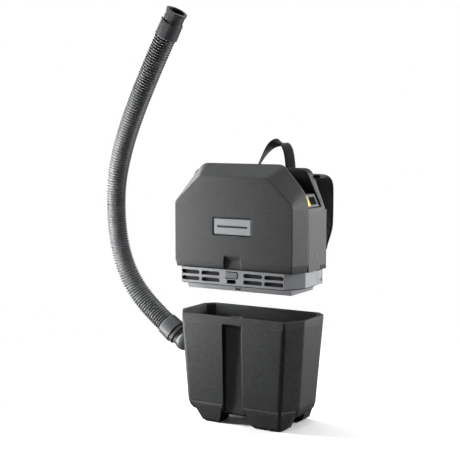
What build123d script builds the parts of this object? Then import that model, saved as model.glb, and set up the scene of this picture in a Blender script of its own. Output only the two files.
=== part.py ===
"""Cordless backpack vacuum cleaner: a head with motor and battery, lifted off its dust container.

Millimetres. +Z is up, the front with the badge faces -Y, the harness is at +Y and the hose joins
the container on its -X side. The container stands on Z = 0, and the head hangs above it at
LIFT millimetres over its closed place.
"""
import os
from math import atan2, cos, degrees, hypot, radians, sin, tan

from build123d import *

# ---- driving dimensions: plan of the container's rim and of the head's base band
HALF_WIDTH = 155.0
FRONT_Y = -112.0
FRONT_FLAT = HALF_WIDTH - 27.0
FRONT_CORNER_Y = FRONT_Y + 45.0
REAR_CORNER_Y = 25.0
REAR_Y = 45.0
REAR_FLAT = HALF_WIDTH - 21.0

# ---- container
RIM_Z = 240.0
TUB_FLOOR_Z = 20.0
SIDE_DRAFT = 17.0
FRONT_DRAFT = 7.0
FOAM_WALL = 9.0
RIM_BAND = 17.0
RIM_STEP = 1.2
RECESS_HALF = 24.0
RECESS_DEPTH = 15.0
FOOT_TOP = 44.0
FOOT_INSET = 3.0
FOOT_DEPTH = 42.0
EDGE_ROUND = 12.0
BAG_GAP = 30.0
BAG_TOP_Z = 204.0

# ---- head
LIFT = 68.0
SEAL_THICK = 2.0
BAND_HEIGHT = 33.0
BAND_WALL = 4.0
NOSE_DEPTH = 16.5
NOSE_HALF = HALF_WIDTH - 24.0
NOSE_FRONT_Y = FRONT_Y + 28.0
NOSE_REAR_Y = 24.0
NOSE_WALL = 3.0
NOSE_DRAFT = 2.5
SHELL_HALF = HALF_WIDTH + 3.5
SHELL_WALL = 8.0
COVER_HEIGHT = 227.0
COVER_SPLIT_Y = -60.0
COVER_BEVEL = 45.0
COVER_FRONT_Y = FRONT_Y + 2.0
COVER_SKIRT = 16.0
COVER_SKIRT_IN = 3.5
SEAM_GAP = 0.6
SHELL_REAR_Y = 25.0
ARCH_FRONT_Y = 2.0
ARCH_REAR_Y = 10.0
ARCH_DROP = 13.0
SIDE_TOP = 135.0
FIT = 0.3

BAND_Z = RIM_Z + LIFT + SEAL_THICK
SEAM_Z = BAND_Z + BAND_HEIGHT
NOSE_Z = BAND_Z - NOSE_DEPTH
COVER_TOP_Z = SEAM_Z + COVER_HEIGHT
ARCH_TOP_Z = COVER_TOP_Z - ARCH_DROP
SIDE_TOP_Z = SEAM_Z + SIDE_TOP

# ---- clips on the sides of the base band
CLIP_Y0 = -11.0
CLIP_Y1 = 17.0
CLIP_SINK = 4.0

# ---- vent slots in the base band
SLOT_LENGTH = 46.0
SLOT_HEIGHT = 9.0
SLOT_PITCH_X = 51.0
SLOT_PITCH_Z = 14.0
SLOT_FIRST_X = 52.5
SLOT_ROW_Z = 9.0

# ---- side switch and blind plugs
SWITCH_Y = -24.0
SWITCH_Z = SEAM_Z + 89.0
PLUG_Y = -23.0
PLUG_Z = SEAM_Z + 32.0
PLUG_R = 3.2
PLUG_PROUD = 0.6

# ---- latch
LATCH_HALF = 14.0
LATCH_HEIGHT = 12.0
LATCH_AXIS_Y = FRONT_Y + 10.0
LATCH_AXIS_Z = BAND_Z + 21.0
LATCH_PIN_R = 1.5
LATCH_ARM_HALF = 5.0
LATCH_LEG_Y = LATCH_AXIS_Y + 27.5
BARB_TIP_Y = NOSE_FRONT_Y + 1.3
BARB_Z = NOSE_Z + 6.0
BARB_HEIGHT = 4.0
KEEPER_HALF = 16.0
KEEPER_TIP_Y = NOSE_FRONT_Y - 0.5

# ---- motor
MOTOR_X = -45.0
MOTOR_Y = -34.0
FILTER_HEIGHT = 16.0
FAN_R = 46.0
FAN_HEIGHT = 44.0
MOTOR_R = 38.0
MOTOR_HEIGHT = 66.0
SHAFT_R = 4.0
BEARING_R = 11.0
BEARING_H = 7.0
SHAFT_FIT = 0.03
IMPELLER_R = 40.0
FILTER_R = 42.0
INTAKE_R = 36.0

FAN_Z = NOSE_Z + NOSE_WALL + FILTER_HEIGHT + 0.7

# ---- battery and its bay
BAY_X0 = 60.0
BAY_X1 = SHELL_HALF - 8.5
BAY_WALL = 2.5
BAY_Z = SEAM_Z + 19.0
BATTERY_TOP_Z = SIDE_TOP_Z + 28.0
BATTERY_FIT = 1.5
BUTTON_Y0 = -55.0
BUTTON_WIDTH = 14.0
BUTTON_HEIGHT = 22.0

# ---- badge
BADGE_HALF = 46.5
BADGE_HEIGHT = 36.0
BADGE_Z = SEAM_Z + 93.0
BADGE_THICK = 1.6
BADGE_SINK = 2.4

# ---- harness
PLATE_FRONT_Y = SHELL_REAR_Y + 5.0
PLATE_REAR_Y = PLATE_FRONT_Y + 28.0
PLATE_WALL = 3.0
PLATE_BOTTOM_Z = SEAM_Z + 3.0
PLATE_TOP_Z = ARCH_TOP_Z + 1.0
PLATE_POSTS_X = (-95.0, 95.0)
PLATE_POSTS_Z = (SEAM_Z + 29.0, SEAM_Z + 109.0)
PAD_THICK = 16.0
STRAP_WIDTH = 64.0
STRAP_THICK = 9.0
STRAP_X = 103.0
HARNESS_REAR_Y = 113.0
WEB_WIDTH = 25.0
WEB_THICK = 2.5

# ---- hose and its port
HOSE_R = 24.0
HOSE_BORE = HOSE_R - 4.0
HOSE_END_BORE = HOSE_R - 5.0
PORT = (-HALF_WIDTH - 17.0, -32.0, 159.0)
PORT_R = HOSE_R - 1.0
PORT_RISE = 35.5
SPIGOT_R = HOSE_R - 3.05
SPIGOT_BORE = HOSE_R - 6.5
SPIGOT_END = 49.0
COLLAR_END = 29.0
CUFF_START = 30.0
CUFF_END = 60.0
CUFF_FIT = 0.05
CUFF_BORE_OVER_HOSE = HOSE_R + 0.5
HOSE_POINTS = [
    (-318.0, -38.7, 289.0), (-345.0, -45.3, 362.0), (-351.0, -52.3, 440.5),
    (-344.0, -59.3, 519.0), (-320.5, -66.0, 594.0), (-287.5, -72.4, 665.5),
    (-249.5, -78.6, 734.5), (-209.5, -84.7, 802.0), (-168.0, -90.6, 869.0),
]
FIRST_RUN = 70.0
END_CONNECTOR = 62.0
END_OVERLAP = 26.0


# ---- helpers
def inset(points, distance):
    """Convex polygon given anticlockwise, with each side moved inwards by the distance."""
    sides = []
    for (x0, y0), (x1, y1) in zip(points, points[1:] + points[:1]):
        length = hypot(x1 - x0, y1 - y0)
        nx, ny = -(y1 - y0) / length, (x1 - x0) / length
        sides.append((nx, ny, nx * x0 + ny * y0 + distance))
    corners = []
    for (a, b, c), (d, e, f) in zip(sides[-1:] + sides[:-1], sides):
        det = a * e - b * d
        corners.append(((c * e - b * f) / det, (a * f - c * d) / det))
    return corners


def mirrored(right):
    """Anticlockwise outline from the points of its right half, listed from bottom to top."""
    return right + [(-x, y) for x, y in reversed(right)]


def outline(points, radii=None):
    """Flat face of a polygon with each corner rounded by its own radius."""
    face = make_face(Polyline(*points, close=True))
    for point, radius in zip(points, radii or []):
        if radius > 0:
            corner = face.vertices().sort_by_distance((point[0], point[1], 0))[0]
            face = fillet(corner, radius)
    return face


def upright(y):
    """Plane at a depth y that holds (x, z) outlines and points at -Y."""
    return Plane(origin=(0, y, 0), x_dir=(1, 0, 0), z_dir=(0, -1, 0))


def sideways(x):
    """Plane at x that holds (y, z) outlines and points at +X."""
    return Plane(origin=(x, 0, 0), x_dir=(0, 1, 0), z_dir=(1, 0, 0))


def level(z):
    return Plane.XY.offset(z)


def slab(points, z0, z1, radii=None):
    return extrude(level(z0) * outline(points, radii), amount=z1 - z0)


def prism_y(points, y0, y1, radii=None):
    return extrude(upright(y1) * outline(points, radii), amount=y1 - y0)


def prism_x(points, x0, x1, radii=None):
    return extrude(sideways(x0) * outline(points, radii), amount=x1 - x0)


def block(x0, x1, y0, y1, z0, z1):
    centre = Pos((x0 + x1) / 2, (y0 + y1) / 2, (z0 + z1) / 2)
    return centre * Box(x1 - x0, y1 - y0, z1 - z0)


def soft_block(x0, x1, y0, y1, z0, z1, radius):
    body = block(x0, x1, y0, y1, z0, z1)
    return fillet(body.edges(), radius)


def post(x, y, z0, z1, radius):
    return Pos(x, y, (z0 + z1) / 2) * Cylinder(radius, z1 - z0)


def ring(x, y, z0, z1, outer, inner):
    return post(x, y, z0, z1, outer) - post(x, y, z0 - 1, z1 + 1, inner)


def rod_x(x0, x1, y, z, radius):
    return Pos((x0 + x1) / 2, y, z) * Rot(0, 90, 0) * Cylinder(radius, x1 - x0)


def rod_y(x, y0, y1, z, radius):
    return Pos(x, (y0 + y1) / 2, z) * Rot(90, 0, 0) * Cylinder(radius, y1 - y0)


def joined(first, *others):
    for other in others:
        first = first + other
    return first


# ---- outlines shared by the pieces
RIM_PLAN = mirrored([
    (FRONT_FLAT, FRONT_Y), (HALF_WIDTH, FRONT_CORNER_Y), (HALF_WIDTH, REAR_CORNER_Y),
    (REAR_FLAT, REAR_Y),
])
TUB_PLAN = mirrored([
    (FRONT_FLAT - SIDE_DRAFT + 3, FRONT_Y + FRONT_DRAFT),
    (HALF_WIDTH - SIDE_DRAFT, FRONT_CORNER_Y + FRONT_DRAFT),
    (HALF_WIDTH - SIDE_DRAFT, REAR_CORNER_Y - FRONT_DRAFT),
    (REAR_FLAT - SIDE_DRAFT, REAR_Y - FRONT_DRAFT),
])
BAND_PLAN = mirrored([
    (FRONT_FLAT, FRONT_Y), (HALF_WIDTH, FRONT_CORNER_Y), (HALF_WIDTH, CLIP_Y0 - 2),
    (HALF_WIDTH - CLIP_SINK, CLIP_Y0 - 1), (HALF_WIDTH - CLIP_SINK, REAR_CORNER_Y - 2),
    (REAR_FLAT - 2, REAR_Y - 2),
])
NOSE_PLAN = [
    (-NOSE_HALF, NOSE_FRONT_Y), (NOSE_HALF, NOSE_FRONT_Y),
    (NOSE_HALF, NOSE_REAR_Y), (-NOSE_HALF, NOSE_REAR_Y),
]
COVER_REAR = mirrored([
    (SHELL_HALF, SEAM_Z), (SHELL_HALF, COVER_TOP_Z - 67), (SHELL_HALF - 59.5, COVER_TOP_Z),
])
COVER_FRONT = mirrored([
    (SHELL_HALF - 13.5, SEAM_Z), (SHELL_HALF - 13.5, COVER_TOP_Z - 83), (SHELL_HALF - 76, COVER_TOP_Z - 27),
])
ARCH = mirrored([(SHELL_HALF, SEAM_Z), (SHELL_HALF, SIDE_TOP_Z), (SHELL_HALF - 38.5, ARCH_TOP_Z)])
PLATE = mirrored([
    (SHELL_HALF - 24, PLATE_BOTTOM_Z), (SHELL_HALF - 19, SIDE_TOP_Z - 8), (SHELL_HALF - 54, PLATE_TOP_Z),
])


def rounded_six(points, low, high, spare=0.0):
    """Radii for a six-corner outline: square feet, then the two upper corners on each side."""
    low, high = max(low - spare, 1.0), max(high - spare, 1.0)
    return [0, low, high, high, low, 0]


# ---- container
def tub_section(z, distance, radius):
    """Tub outline at a height, between its floor and rim outlines, moved inwards."""
    share = (z - TUB_FLOOR_Z) / (RIM_Z - TUB_FLOOR_Z)
    points = [
        (a + (c - a) * share, b + (d - b) * share)
        for (a, b), (c, d) in zip(inset(TUB_PLAN, distance), inset(RIM_PLAN, distance))
    ]
    return level(z) * outline(points, [max(radius, 1.0)] * len(points))


FLOOR_ROUND = [(0.0, 16.0), (5.0, 8.5), (14.0, 2.5), (26.0, 0.0)]


def tapered_tub(distance, floor_z):
    """Drafted solid from floor to rim, moved inwards, with a rounded bevel round its floor."""
    radius = EDGE_ROUND - distance
    sections = [tub_section(floor_z + up, distance + back, radius) for up, back in FLOOR_ROUND]
    sections.append(tub_section(RIM_Z, distance, radius))
    body = loft(sections[:2], ruled=True)
    for low, high in zip(sections[1:], sections[2:]):
        body = body + loft([low, high], ruled=True)
    return body


def front_recess(extra, top_z):
    """Wedge cut from the front between the two lobes, or its grown copy for the inner wall."""
    depth = FRONT_Y + RECESS_DEPTH + extra
    half = RECESS_HALF + extra
    body = prism_x([(FRONT_Y - 20, -5), (depth, -5), (depth, top_z - 12), (FRONT_Y - 20, top_z + 10)],
                   -half, half)
    return body


FEET_FRONT = [
    [(-108, FOOT_TOP), (-80, 4), (-72, 0), (-42, 0), (-37, 4), (-26, FOOT_TOP)],
    [(26, FOOT_TOP), (44, 5), (52, 0), (112, 0), (121, 5), (136, FOOT_TOP)],
]
FEET_REAR = [
    [(-134, FOOT_TOP), (-117, 5), (-108, 0), (-54, 0), (-46, 5), (-32, FOOT_TOP)],
    [(32, FOOT_TOP), (46, 5), (54, 0), (108, 0), (117, 5), (134, FOOT_TOP)],
]


def container_feet():
    """Four foam feet that carry the tub's walls down to the ground, with arches between them."""
    low = tub_section(0, FOOT_INSET + 3, 8)
    waist = tub_section(6, FOOT_INSET, 8)
    core = loft([low, waist], ruled=True) + loft([waist, tub_section(FOOT_TOP, 0, 8)], ruled=True)
    outlines = [(points, FRONT_Y, FRONT_Y + FRONT_DRAFT + FOOT_DEPTH) for points in FEET_FRONT]
    outlines += [(points, REAR_Y - FRONT_DRAFT - FOOT_DEPTH, REAR_Y) for points in FEET_REAR]
    arch = Pos(83, FRONT_Y, -3) * Rot(90, 0, 0) * Cylinder(7, 60)
    tub = tapered_tub(0, TUB_FLOOR_Z) - front_recess(0, RIM_Z - RIM_BAND + 4)
    return Compound([
        ((core & prism_y(points, y0, y1)) - arch - tub - front_recess(0, RIM_Z)).solids().sort_by(
            SortBy.VOLUME).last for points, y0, y1 in outlines])


def container_shell():
    outer = tapered_tub(0, TUB_FLOOR_Z) - front_recess(0, RIM_Z - RIM_BAND + 4)
    inner = tapered_tub(FOAM_WALL, TUB_FLOOR_Z + FOAM_WALL)
    inner = inner - front_recess(FOAM_WALL, RIM_Z - RIM_BAND + 14)
    step = slab(RIM_PLAN, RIM_Z - RIM_BAND, RIM_Z + 1) - slab(
        inset(RIM_PLAN, RIM_STEP), RIM_Z - RIM_BAND, RIM_Z + 1)
    body = outer - inner - step
    hole = rod_x(PORT[0], PORT[0] + 60, PORT[1], PORT[2], PORT_R - 4)
    seat = block(-KEEPER_HALF - FIT, KEEPER_HALF + FIT, FRONT_Y + FOAM_WALL - 2, FRONT_Y + FOAM_WALL + 5,
                 RIM_Z - 11, RIM_Z + 1)
    return body - hole - seat


def latch_keeper():
    """Steel angle on the inner front wall, whose tongue the latch barb hooks under."""
    y0 = FRONT_Y + FOAM_WALL - 2
    plate = block(-KEEPER_HALF, KEEPER_HALF, y0, y0 + 1.6, RIM_Z - 11 + FIT, RIM_Z - 1)
    tongue = block(-KEEPER_HALF + 4, KEEPER_HALF - 4, y0, KEEPER_TIP_Y, RIM_Z - 3.5, RIM_Z - 1)
    return plate + tongue


def inlet_port():
    """Ball elbow with a flange on the container's wall and a spigot for the hose cuff."""
    wall_x = PORT[0]
    inward = rod_x(wall_x, wall_x + 42, PORT[1], PORT[2], PORT_R - 5)
    flange_x = -HALF_WIDTH + SIDE_DRAFT * (RIM_Z - PORT[2]) / (RIM_Z - TUB_FLOOR_Z)
    flange = rod_x(flange_x - 4.6, flange_x - 2.2, PORT[1], PORT[2], PORT_R + 2)
    body = Pos(*PORT) * Sphere(PORT_R) + inward + flange
    body = body + along_port(0, SPIGOT_END, SPIGOT_R) + along_port(20, COLLAR_END, PORT_R + 2)
    bore = along_port(0, SPIGOT_END + 1, SPIGOT_BORE)
    bore = joined(bore, Pos(*PORT) * Sphere(SPIGOT_BORE),
                  rod_x(wall_x, wall_x + 43, PORT[1], PORT[2], SPIGOT_BORE))
    return body - bore


PORT_DIR = Vector(-cos(radians(PORT_RISE)), 0, sin(radians(PORT_RISE)))


def on_port_axis(distance):
    return Vector(*PORT) + PORT_DIR * distance


def along_port(start, end, radius):
    """Cylinder on the port's slanted axis between two distances from the ball's centre."""
    base = Plane(origin=on_port_axis(start), z_dir=PORT_DIR)
    return extrude(base * Circle(radius), amount=end - start)


def hose_cuff():
    """Swivel cuff that turns on the spigot and covers the end of the hose."""
    base = Plane(origin=on_port_axis(CUFF_START), z_dir=PORT_DIR)
    tip = Plane(origin=on_port_axis(CUFF_END), z_dir=PORT_DIR)
    body = loft([base * Circle(HOSE_R + 3.5), tip * Circle(HOSE_R + 2.2)])
    body = body - along_port(CUFF_START - 1, SPIGOT_END - 1, SPIGOT_R + CUFF_FIT)
    return body - along_port(SPIGOT_END - 1, CUFF_END + 1, CUFF_BORE_OVER_HOSE)


def hose_route():
    start = on_port_axis(SPIGOT_END)
    return [start, start + PORT_DIR * FIRST_RUN] + [Vector(*p) for p in HOSE_POINTS]


def hose_radii(route):
    radii = []
    for a, b, c in zip(route, route[1:], route[2:]):
        turn = (b - a).get_angle(c - b)
        shorter = min((b - a).length, (c - b).length)
        radii.append(0.45 * shorter / tan(radians(turn) / 2))
    return radii


def hose():
    route = hose_route()
    radii = hose_radii(route)
    path = FilletPolyline(*route, radius=radii)
    print("hose radii", [round(r) for r in radii], "length", round(path.length, 1))
    start = Plane(origin=route[0], z_dir=route[1] - route[0])
    outer = sweep(start * Circle(HOSE_R), path=path)
    inner = sweep(start * Circle(HOSE_BORE), path=path)
    tube = outer - inner
    section = 3.14159265 * (HOSE_R ** 2 - HOSE_BORE ** 2)
    print("hose volume ratio", round(tube.volume / (section * path.length), 4))
    return tube


def hose_end_connector():
    """Smooth end cuff with a bore that takes the wand."""
    route = hose_route()
    along = (route[-1] - route[-2]).normalized()
    start = route[-1] - along * END_OVERLAP
    frame = Plane(origin=start, z_dir=along)
    grip = frame.offset(END_OVERLAP + 10)
    tip = frame.offset(END_CONNECTOR)
    body = loft([frame * Circle(HOSE_R + 2.5), grip * Circle(HOSE_R + 1.5)])
    body = body + extrude(grip * Circle(HOSE_R - 1), amount=END_CONNECTOR - END_OVERLAP - 10)
    body = body + extrude(tip.offset(-5) * Circle(HOSE_R + 0.4), amount=5)
    body = body - extrude(frame.offset(-1) * Circle(HOSE_R + 0.02), amount=END_OVERLAP + 1)
    return body - extrude(frame * Circle(HOSE_END_BORE), amount=END_CONNECTOR + 1)


def bag_adapter():
    """Plate inside the container that holds the filter bag's collar on the port."""
    x0 = PORT[0] + 42
    plate = block(x0, x0 + 4, PORT[1] - 34, PORT[1] + 34, PORT[2] - 34, PORT[2] + 34)
    plate = fillet(plate.edges().filter_by(Axis.X), 8)
    return plate - rod_x(x0 - 1, x0 + 5, PORT[1], PORT[2], SPIGOT_BORE)


def filter_bag():
    """Fleece bag that follows the tub's inside, with the collar on the adapter."""
    low_z = TUB_FLOOR_Z + FOAM_WALL + 8
    levels = [(low_z, 36.0), (low_z + 18.0, BAG_GAP), (BAG_TOP_Z, BAG_GAP)]
    sections = []
    for z, gap in levels:
        x = HALF_WIDTH - SIDE_DRAFT - gap + 12
        shape = Pos(0, (FRONT_Y + REAR_Y) / 2) * RectangleRounded(2 * x, REAR_Y - FRONT_Y - 2 * gap, 14)
        sections.append(level(z) * shape)
    body = loft(sections[:2], ruled=True) + loft(sections[1:], ruled=True)
    collar = rod_x(PORT[0] + 46, PORT[0] + 66, PORT[1], PORT[2], PORT_R - 3)
    return body + collar


# ---- head: base
def base_frame():
    band = slab(BAND_PLAN, BAND_Z, SEAM_Z) - slab(inset(BAND_PLAN, BAND_WALL), BAND_Z + 3, SEAM_Z + 1)
    top = level(BAND_Z + 3) * outline(NOSE_PLAN)
    low = level(NOSE_Z) * outline(inset(NOSE_PLAN, NOSE_DRAFT))
    nose = loft([low, top], ruled=True)
    hollow_top = level(BAND_Z + 4) * outline(inset(NOSE_PLAN, NOSE_WALL))
    hollow_low = level(NOSE_Z + NOSE_WALL) * outline(inset(NOSE_PLAN, NOSE_WALL + NOSE_DRAFT))
    body = band + nose - loft([hollow_low, hollow_top], ruled=True)
    rear_roof = slab(BAND_PLAN, SEAM_Z - 3, SEAM_Z) & block(-200, 200, SHELL_REAR_Y - 6, 100, 0, SEAM_Z)
    body = body + rear_roof
    for row in (0, 1):
        z = BAND_Z + SLOT_ROW_Z + row * SLOT_PITCH_Z
        for column in (0, 1):
            for side in (-1, 1):
                x = side * (SLOT_FIRST_X + column * SLOT_PITCH_X)
                cut = Rot(90, 0, 0) * extrude(SlotOverall(SLOT_LENGTH, SLOT_HEIGHT), amount=8, both=True)
                body = body - Pos(x, FRONT_Y + 2, z) * cut
    body = body - post(MOTOR_X, MOTOR_Y, NOSE_Z - 1, NOSE_Z + 4, INTAKE_R)
    window = block(-LATCH_HALF - 0.6, LATCH_HALF + 0.6, FRONT_Y - 1, FRONT_Y + BAND_WALL + 1,
                   LATCH_AXIS_Z - 7, LATCH_AXIS_Z + 9)
    slot = block(-11, 11, FRONT_Y - 1, FRONT_Y + BAND_WALL + 1, BAND_Z + 3.5, BAND_Z + 12)
    barb_window = block(-LATCH_ARM_HALF - 1, LATCH_ARM_HALF + 1, NOSE_FRONT_Y - 2, LATCH_LEG_Y + 4,
                        NOSE_Z + NOSE_WALL - 0.5, BARB_Z + BARB_HEIGHT + 2.5)
    body = body - window - slot - barb_window
    for side in (-1, 1):
        x = side * (LATCH_HALF + 3)
        ear = block(x - 2, x + 2, FRONT_Y + BAND_WALL - 0.5, LATCH_AXIS_Y + 5,
                    BAND_Z + 2, LATCH_AXIS_Z + 6)
        body = body + (ear - rod_x(x - 3, x + 3, LATCH_AXIS_Y, LATCH_AXIS_Z, LATCH_PIN_R + 0.05))
    return body


def base_seal():
    """Rubber ring under the band's ledge, which meets the container's rim."""
    outer = slab(inset(BAND_PLAN, 3), BAND_Z - SEAL_THICK, BAND_Z)
    inner = slab(inset(BAND_PLAN, FOAM_WALL), BAND_Z - SEAL_THICK - 1, BAND_Z + 1)
    nose = block(-NOSE_HALF - 0.5, NOSE_HALF + 0.5, NOSE_FRONT_Y - 0.5, NOSE_REAR_Y + 0.5,
                 BAND_Z - SEAL_THICK - 1, BAND_Z + 1)
    return outer - inner - nose


def intake_grille():
    """Round grille under the motor filter, seated in the nose floor."""
    body = post(MOTOR_X, MOTOR_Y, NOSE_Z + 0.5, NOSE_Z + 3, INTAKE_R)
    for i in range(-4, 5):
        half = (max((INTAKE_R - 4) ** 2 - (i * 7.2) ** 2, 0)) ** 0.5
        body = body - block(MOTOR_X - half, MOTOR_X + half, MOTOR_Y + i * 7.2 - 2.3,
                            MOTOR_Y + i * 7.2 + 2.3, NOSE_Z, NOSE_Z + 4)
    return body


def motor_filter():
    return post(MOTOR_X, MOTOR_Y, NOSE_Z + NOSE_WALL, NOSE_Z + NOSE_WALL + FILTER_HEIGHT, FILTER_R)


def exhaust_foam():
    """Two foam strips behind the vent slots."""
    y0 = FRONT_Y + BAND_WALL
    parts = [block(s * 74 - 46, s * 74 + 46, y0, y0 + 6, BAND_Z + 3.2, SEAM_Z - 1) for s in (-1, 1)]
    return Compound(parts)


def latch_lever():
    """Front latch: a lever plate, its pivot barrel, and the leg whose barb looks out of the nose."""
    y, z = LATCH_AXIS_Y, LATCH_AXIS_Z
    plate = block(-LATCH_HALF, LATCH_HALF, FRONT_Y - 1, FRONT_Y + 2, z - 5, z - 5 + LATCH_HEIGHT)
    plate = fillet(plate.edges().filter_by(Axis.Y), 2)
    neck = block(-10, 10, FRONT_Y + 1, y, z - 2.5, z + 2.5)
    barrel = rod_x(-LATCH_HALF, LATCH_HALF, y, z, 4)
    link = block(-LATCH_ARM_HALF, LATCH_ARM_HALF, y, LATCH_LEG_Y + 3, z - 2, z + 2)
    leg = block(-LATCH_ARM_HALF, LATCH_ARM_HALF, LATCH_LEG_Y, LATCH_LEG_Y + 3, BARB_Z, z + 2)
    barb = block(-LATCH_ARM_HALF, LATCH_ARM_HALF, BARB_TIP_Y, LATCH_LEG_Y + 1, BARB_Z, BARB_Z + BARB_HEIGHT)
    body = joined(plate, neck, barrel, link, leg, barb)
    return body - rod_x(-LATCH_HALF - 1, LATCH_HALF + 1, y, z, LATCH_PIN_R + 0.05)


def latch_pin():
    return rod_x(-LATCH_HALF - 5, LATCH_HALF + 5, LATCH_AXIS_Y, LATCH_AXIS_Z, LATCH_PIN_R)


def latch_spring():
    """Small leaf spring beside the right ear."""
    x = LATCH_HALF + 5.4
    wall_y = FRONT_Y + BAND_WALL
    leaf = block(x, x + 5, wall_y + 1.8, wall_y + 2.4, BAND_Z + 4, LATCH_AXIS_Z + 4)
    seat = block(x, x + 5, wall_y, wall_y + 1.8, BAND_Z + 4, BAND_Z + 8)
    return leaf + seat


def side_clips():
    """Clip plates let into the sides of the base band."""
    clips = []
    for side in (-1, 1):
        x0, x1 = HALF_WIDTH - CLIP_SINK, HALF_WIDTH - 0.8
        plate = block(x0, x1, CLIP_Y0, CLIP_Y1, BAND_Z, SEAM_Z - 2)
        plate = plate - block(x0 + 1.6, x1 + 1, CLIP_Y0 + 4, CLIP_Y1 - 4, BAND_Z + 6, BAND_Z + 12)
        clips.append(plate if side > 0 else mirror(plate, about=Plane.YZ))
    return Compound(clips)


# ---- head: shells
def front_cover():
    rear_y = COVER_SPLIT_Y - SEAM_GAP
    bevel_y = COVER_FRONT_Y + COVER_BEVEL
    rear = rounded_six(COVER_REAR, 75, 27)
    front = rounded_six(COVER_FRONT, 16, 9)
    outer = prism_y(COVER_REAR, bevel_y, rear_y, rear) + loft([
        upright(bevel_y) * outline(COVER_REAR, rear),
        upright(COVER_FRONT_Y) * outline(COVER_FRONT, front)], ruled=True)
    wall = SHELL_WALL
    in_rear, in_front = inset(COVER_REAR, wall), inset(COVER_FRONT, wall * 0.8)
    in_rear = [(x, z if z > SEAM_Z + 50 else SEAM_Z - 1) for x, z in in_rear]
    in_front = [(x, z if z > SEAM_Z + 50 else SEAM_Z - 1) for x, z in in_front]
    r_rear, r_front = rounded_six(in_rear, 75, 27, wall), rounded_six(in_front, 16, 9, wall * 0.8)
    inner = prism_y(in_rear, bevel_y, rear_y + 1, r_rear) + loft([
        upright(bevel_y) * outline(in_rear, r_rear),
        upright(COVER_FRONT_Y + wall) * outline(in_front, r_front)], ruled=True)
    body = outer - inner
    skirt_top = mirrored([(COVER_FRONT[0][0], COVER_FRONT_Y), (SHELL_HALF, bevel_y), (SHELL_HALF, 0)])
    skirt_low = inset(skirt_top, COVER_SKIRT_IN)
    ring_box = block(-200, 200, COVER_FRONT_Y - 20, rear_y + 5, SEAM_Z - 2, SEAM_Z + COVER_SKIRT)
    core = loft([level(SEAM_Z) * outline(skirt_low), level(SEAM_Z + COVER_SKIRT) * outline(skirt_top)],
                ruled=True)
    body = body - (ring_box - core - block(-200, 200, -200, 100, SEAM_Z - 5, SEAM_Z))
    low = SEAM_Z - 2
    mouth = [(-24, low), (24, low), (20, SEAM_Z + 31), (-20, SEAM_Z + 31)]
    floor = [(-19, low), (19, low), (17, SEAM_Z + 22), (-17, SEAM_Z + 22)]
    scoop = loft([upright(COVER_FRONT_Y - 1) * outline(mouth),
                  upright(COVER_FRONT_Y + 6) * outline(floor)], ruled=True)
    badge_seat = block(-BADGE_HALF - 1.5, BADGE_HALF + 1.5, COVER_FRONT_Y - 1, COVER_FRONT_Y + BADGE_SINK,
                       BADGE_Z - BADGE_HEIGHT / 2 - 1.5, BADGE_Z + BADGE_HEIGHT / 2 + 1.5)
    return body - scoop - badge_seat


def badge_plate():
    y1 = COVER_FRONT_Y + BADGE_SINK
    plate = block(-BADGE_HALF, BADGE_HALF, y1 - BADGE_THICK, y1,
                  BADGE_Z - BADGE_HEIGHT / 2, BADGE_Z + BADGE_HEIGHT / 2)
    plate = fillet(plate.edges().filter_by(Axis.Y), 2)
    return plate


def main_shell():
    """Middle housing: side panels, rear arch and the open battery corner on the right."""
    radii = rounded_six(ARCH, 60, 16)
    body = prism_y(ARCH, COVER_SPLIT_Y, ARCH_REAR_Y, radii)
    body = body + block(-SHELL_HALF, SHELL_HALF, ARCH_REAR_Y - 1, SHELL_REAR_Y, SEAM_Z, SIDE_TOP_Z - 6)
    wall = SHELL_WALL
    inner = [(x, z if z > SEAM_Z + 50 else SEAM_Z - 1) for x, z in inset(ARCH, wall)]
    cavity = prism_y(inner, COVER_SPLIT_Y - 1, ARCH_FRONT_Y, rounded_six(inner, 60, 16, wall))
    left_of_bay = block(-200, BAY_X0 - wall, -200, 100, SEAM_Z - 2, COVER_TOP_Z)
    bay = block(BAY_X0, SHELL_HALF - wall, COVER_SPLIT_Y - 1, ARCH_FRONT_Y, SEAM_Z - 1, SIDE_TOP_Z + 1)
    corner = block(BAY_X0, 200, COVER_SPLIT_Y - 1, ARCH_FRONT_Y, SIDE_TOP_Z, COVER_TOP_Z)
    room = block(-SHELL_HALF + wall, BAY_X0 - wall, COVER_SPLIT_Y - 1, SHELL_REAR_Y - wall,
                 SEAM_Z - 1, SIDE_TOP_Z - 16)
    body = body - (cavity & left_of_bay) - room - bay - corner
    for x in PLATE_POSTS_X:
        for z in PLATE_POSTS_Z:
            body = body - rod_y(x, SHELL_REAR_Y - 7, SHELL_REAR_Y + 1, z, 2.45)
    for side in (-1, 1):
        for i in range(4):
            y = -4 + i * 7
            x0 = side * (SHELL_HALF - 1.5) if side > 0 else -SHELL_HALF - 1
            body = body - block(x0, x0 + 2.5, y, y + 3, SEAM_Z - 1, SEAM_Z + 9)
    switch = block(-SHELL_HALF - 2, -SHELL_HALF + wall + 2, SWITCH_Y - 12 - FIT, SWITCH_Y + 12 + FIT,
                   SWITCH_Z - 18 - FIT, SWITCH_Z + 18 + FIT)
    body = body - switch
    for side in (-1, 1):
        body = body - side_pin(side, SHELL_HALF - 5, SHELL_HALF + 2, PLUG_R)
    return body


def side_pin(side, x0, x1, radius):
    start, end = sorted((side * x0, side * x1))
    return rod_x(start, end, PLUG_Y, PLUG_Z, radius)


def side_plugs():
    """Blind plugs over the screw holes in the side panels."""
    return Compound([
        side_pin(side, SHELL_HALF - 5, SHELL_HALF + PLUG_PROUD, PLUG_R - 0.05) for side in (-1, 1)])


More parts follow.
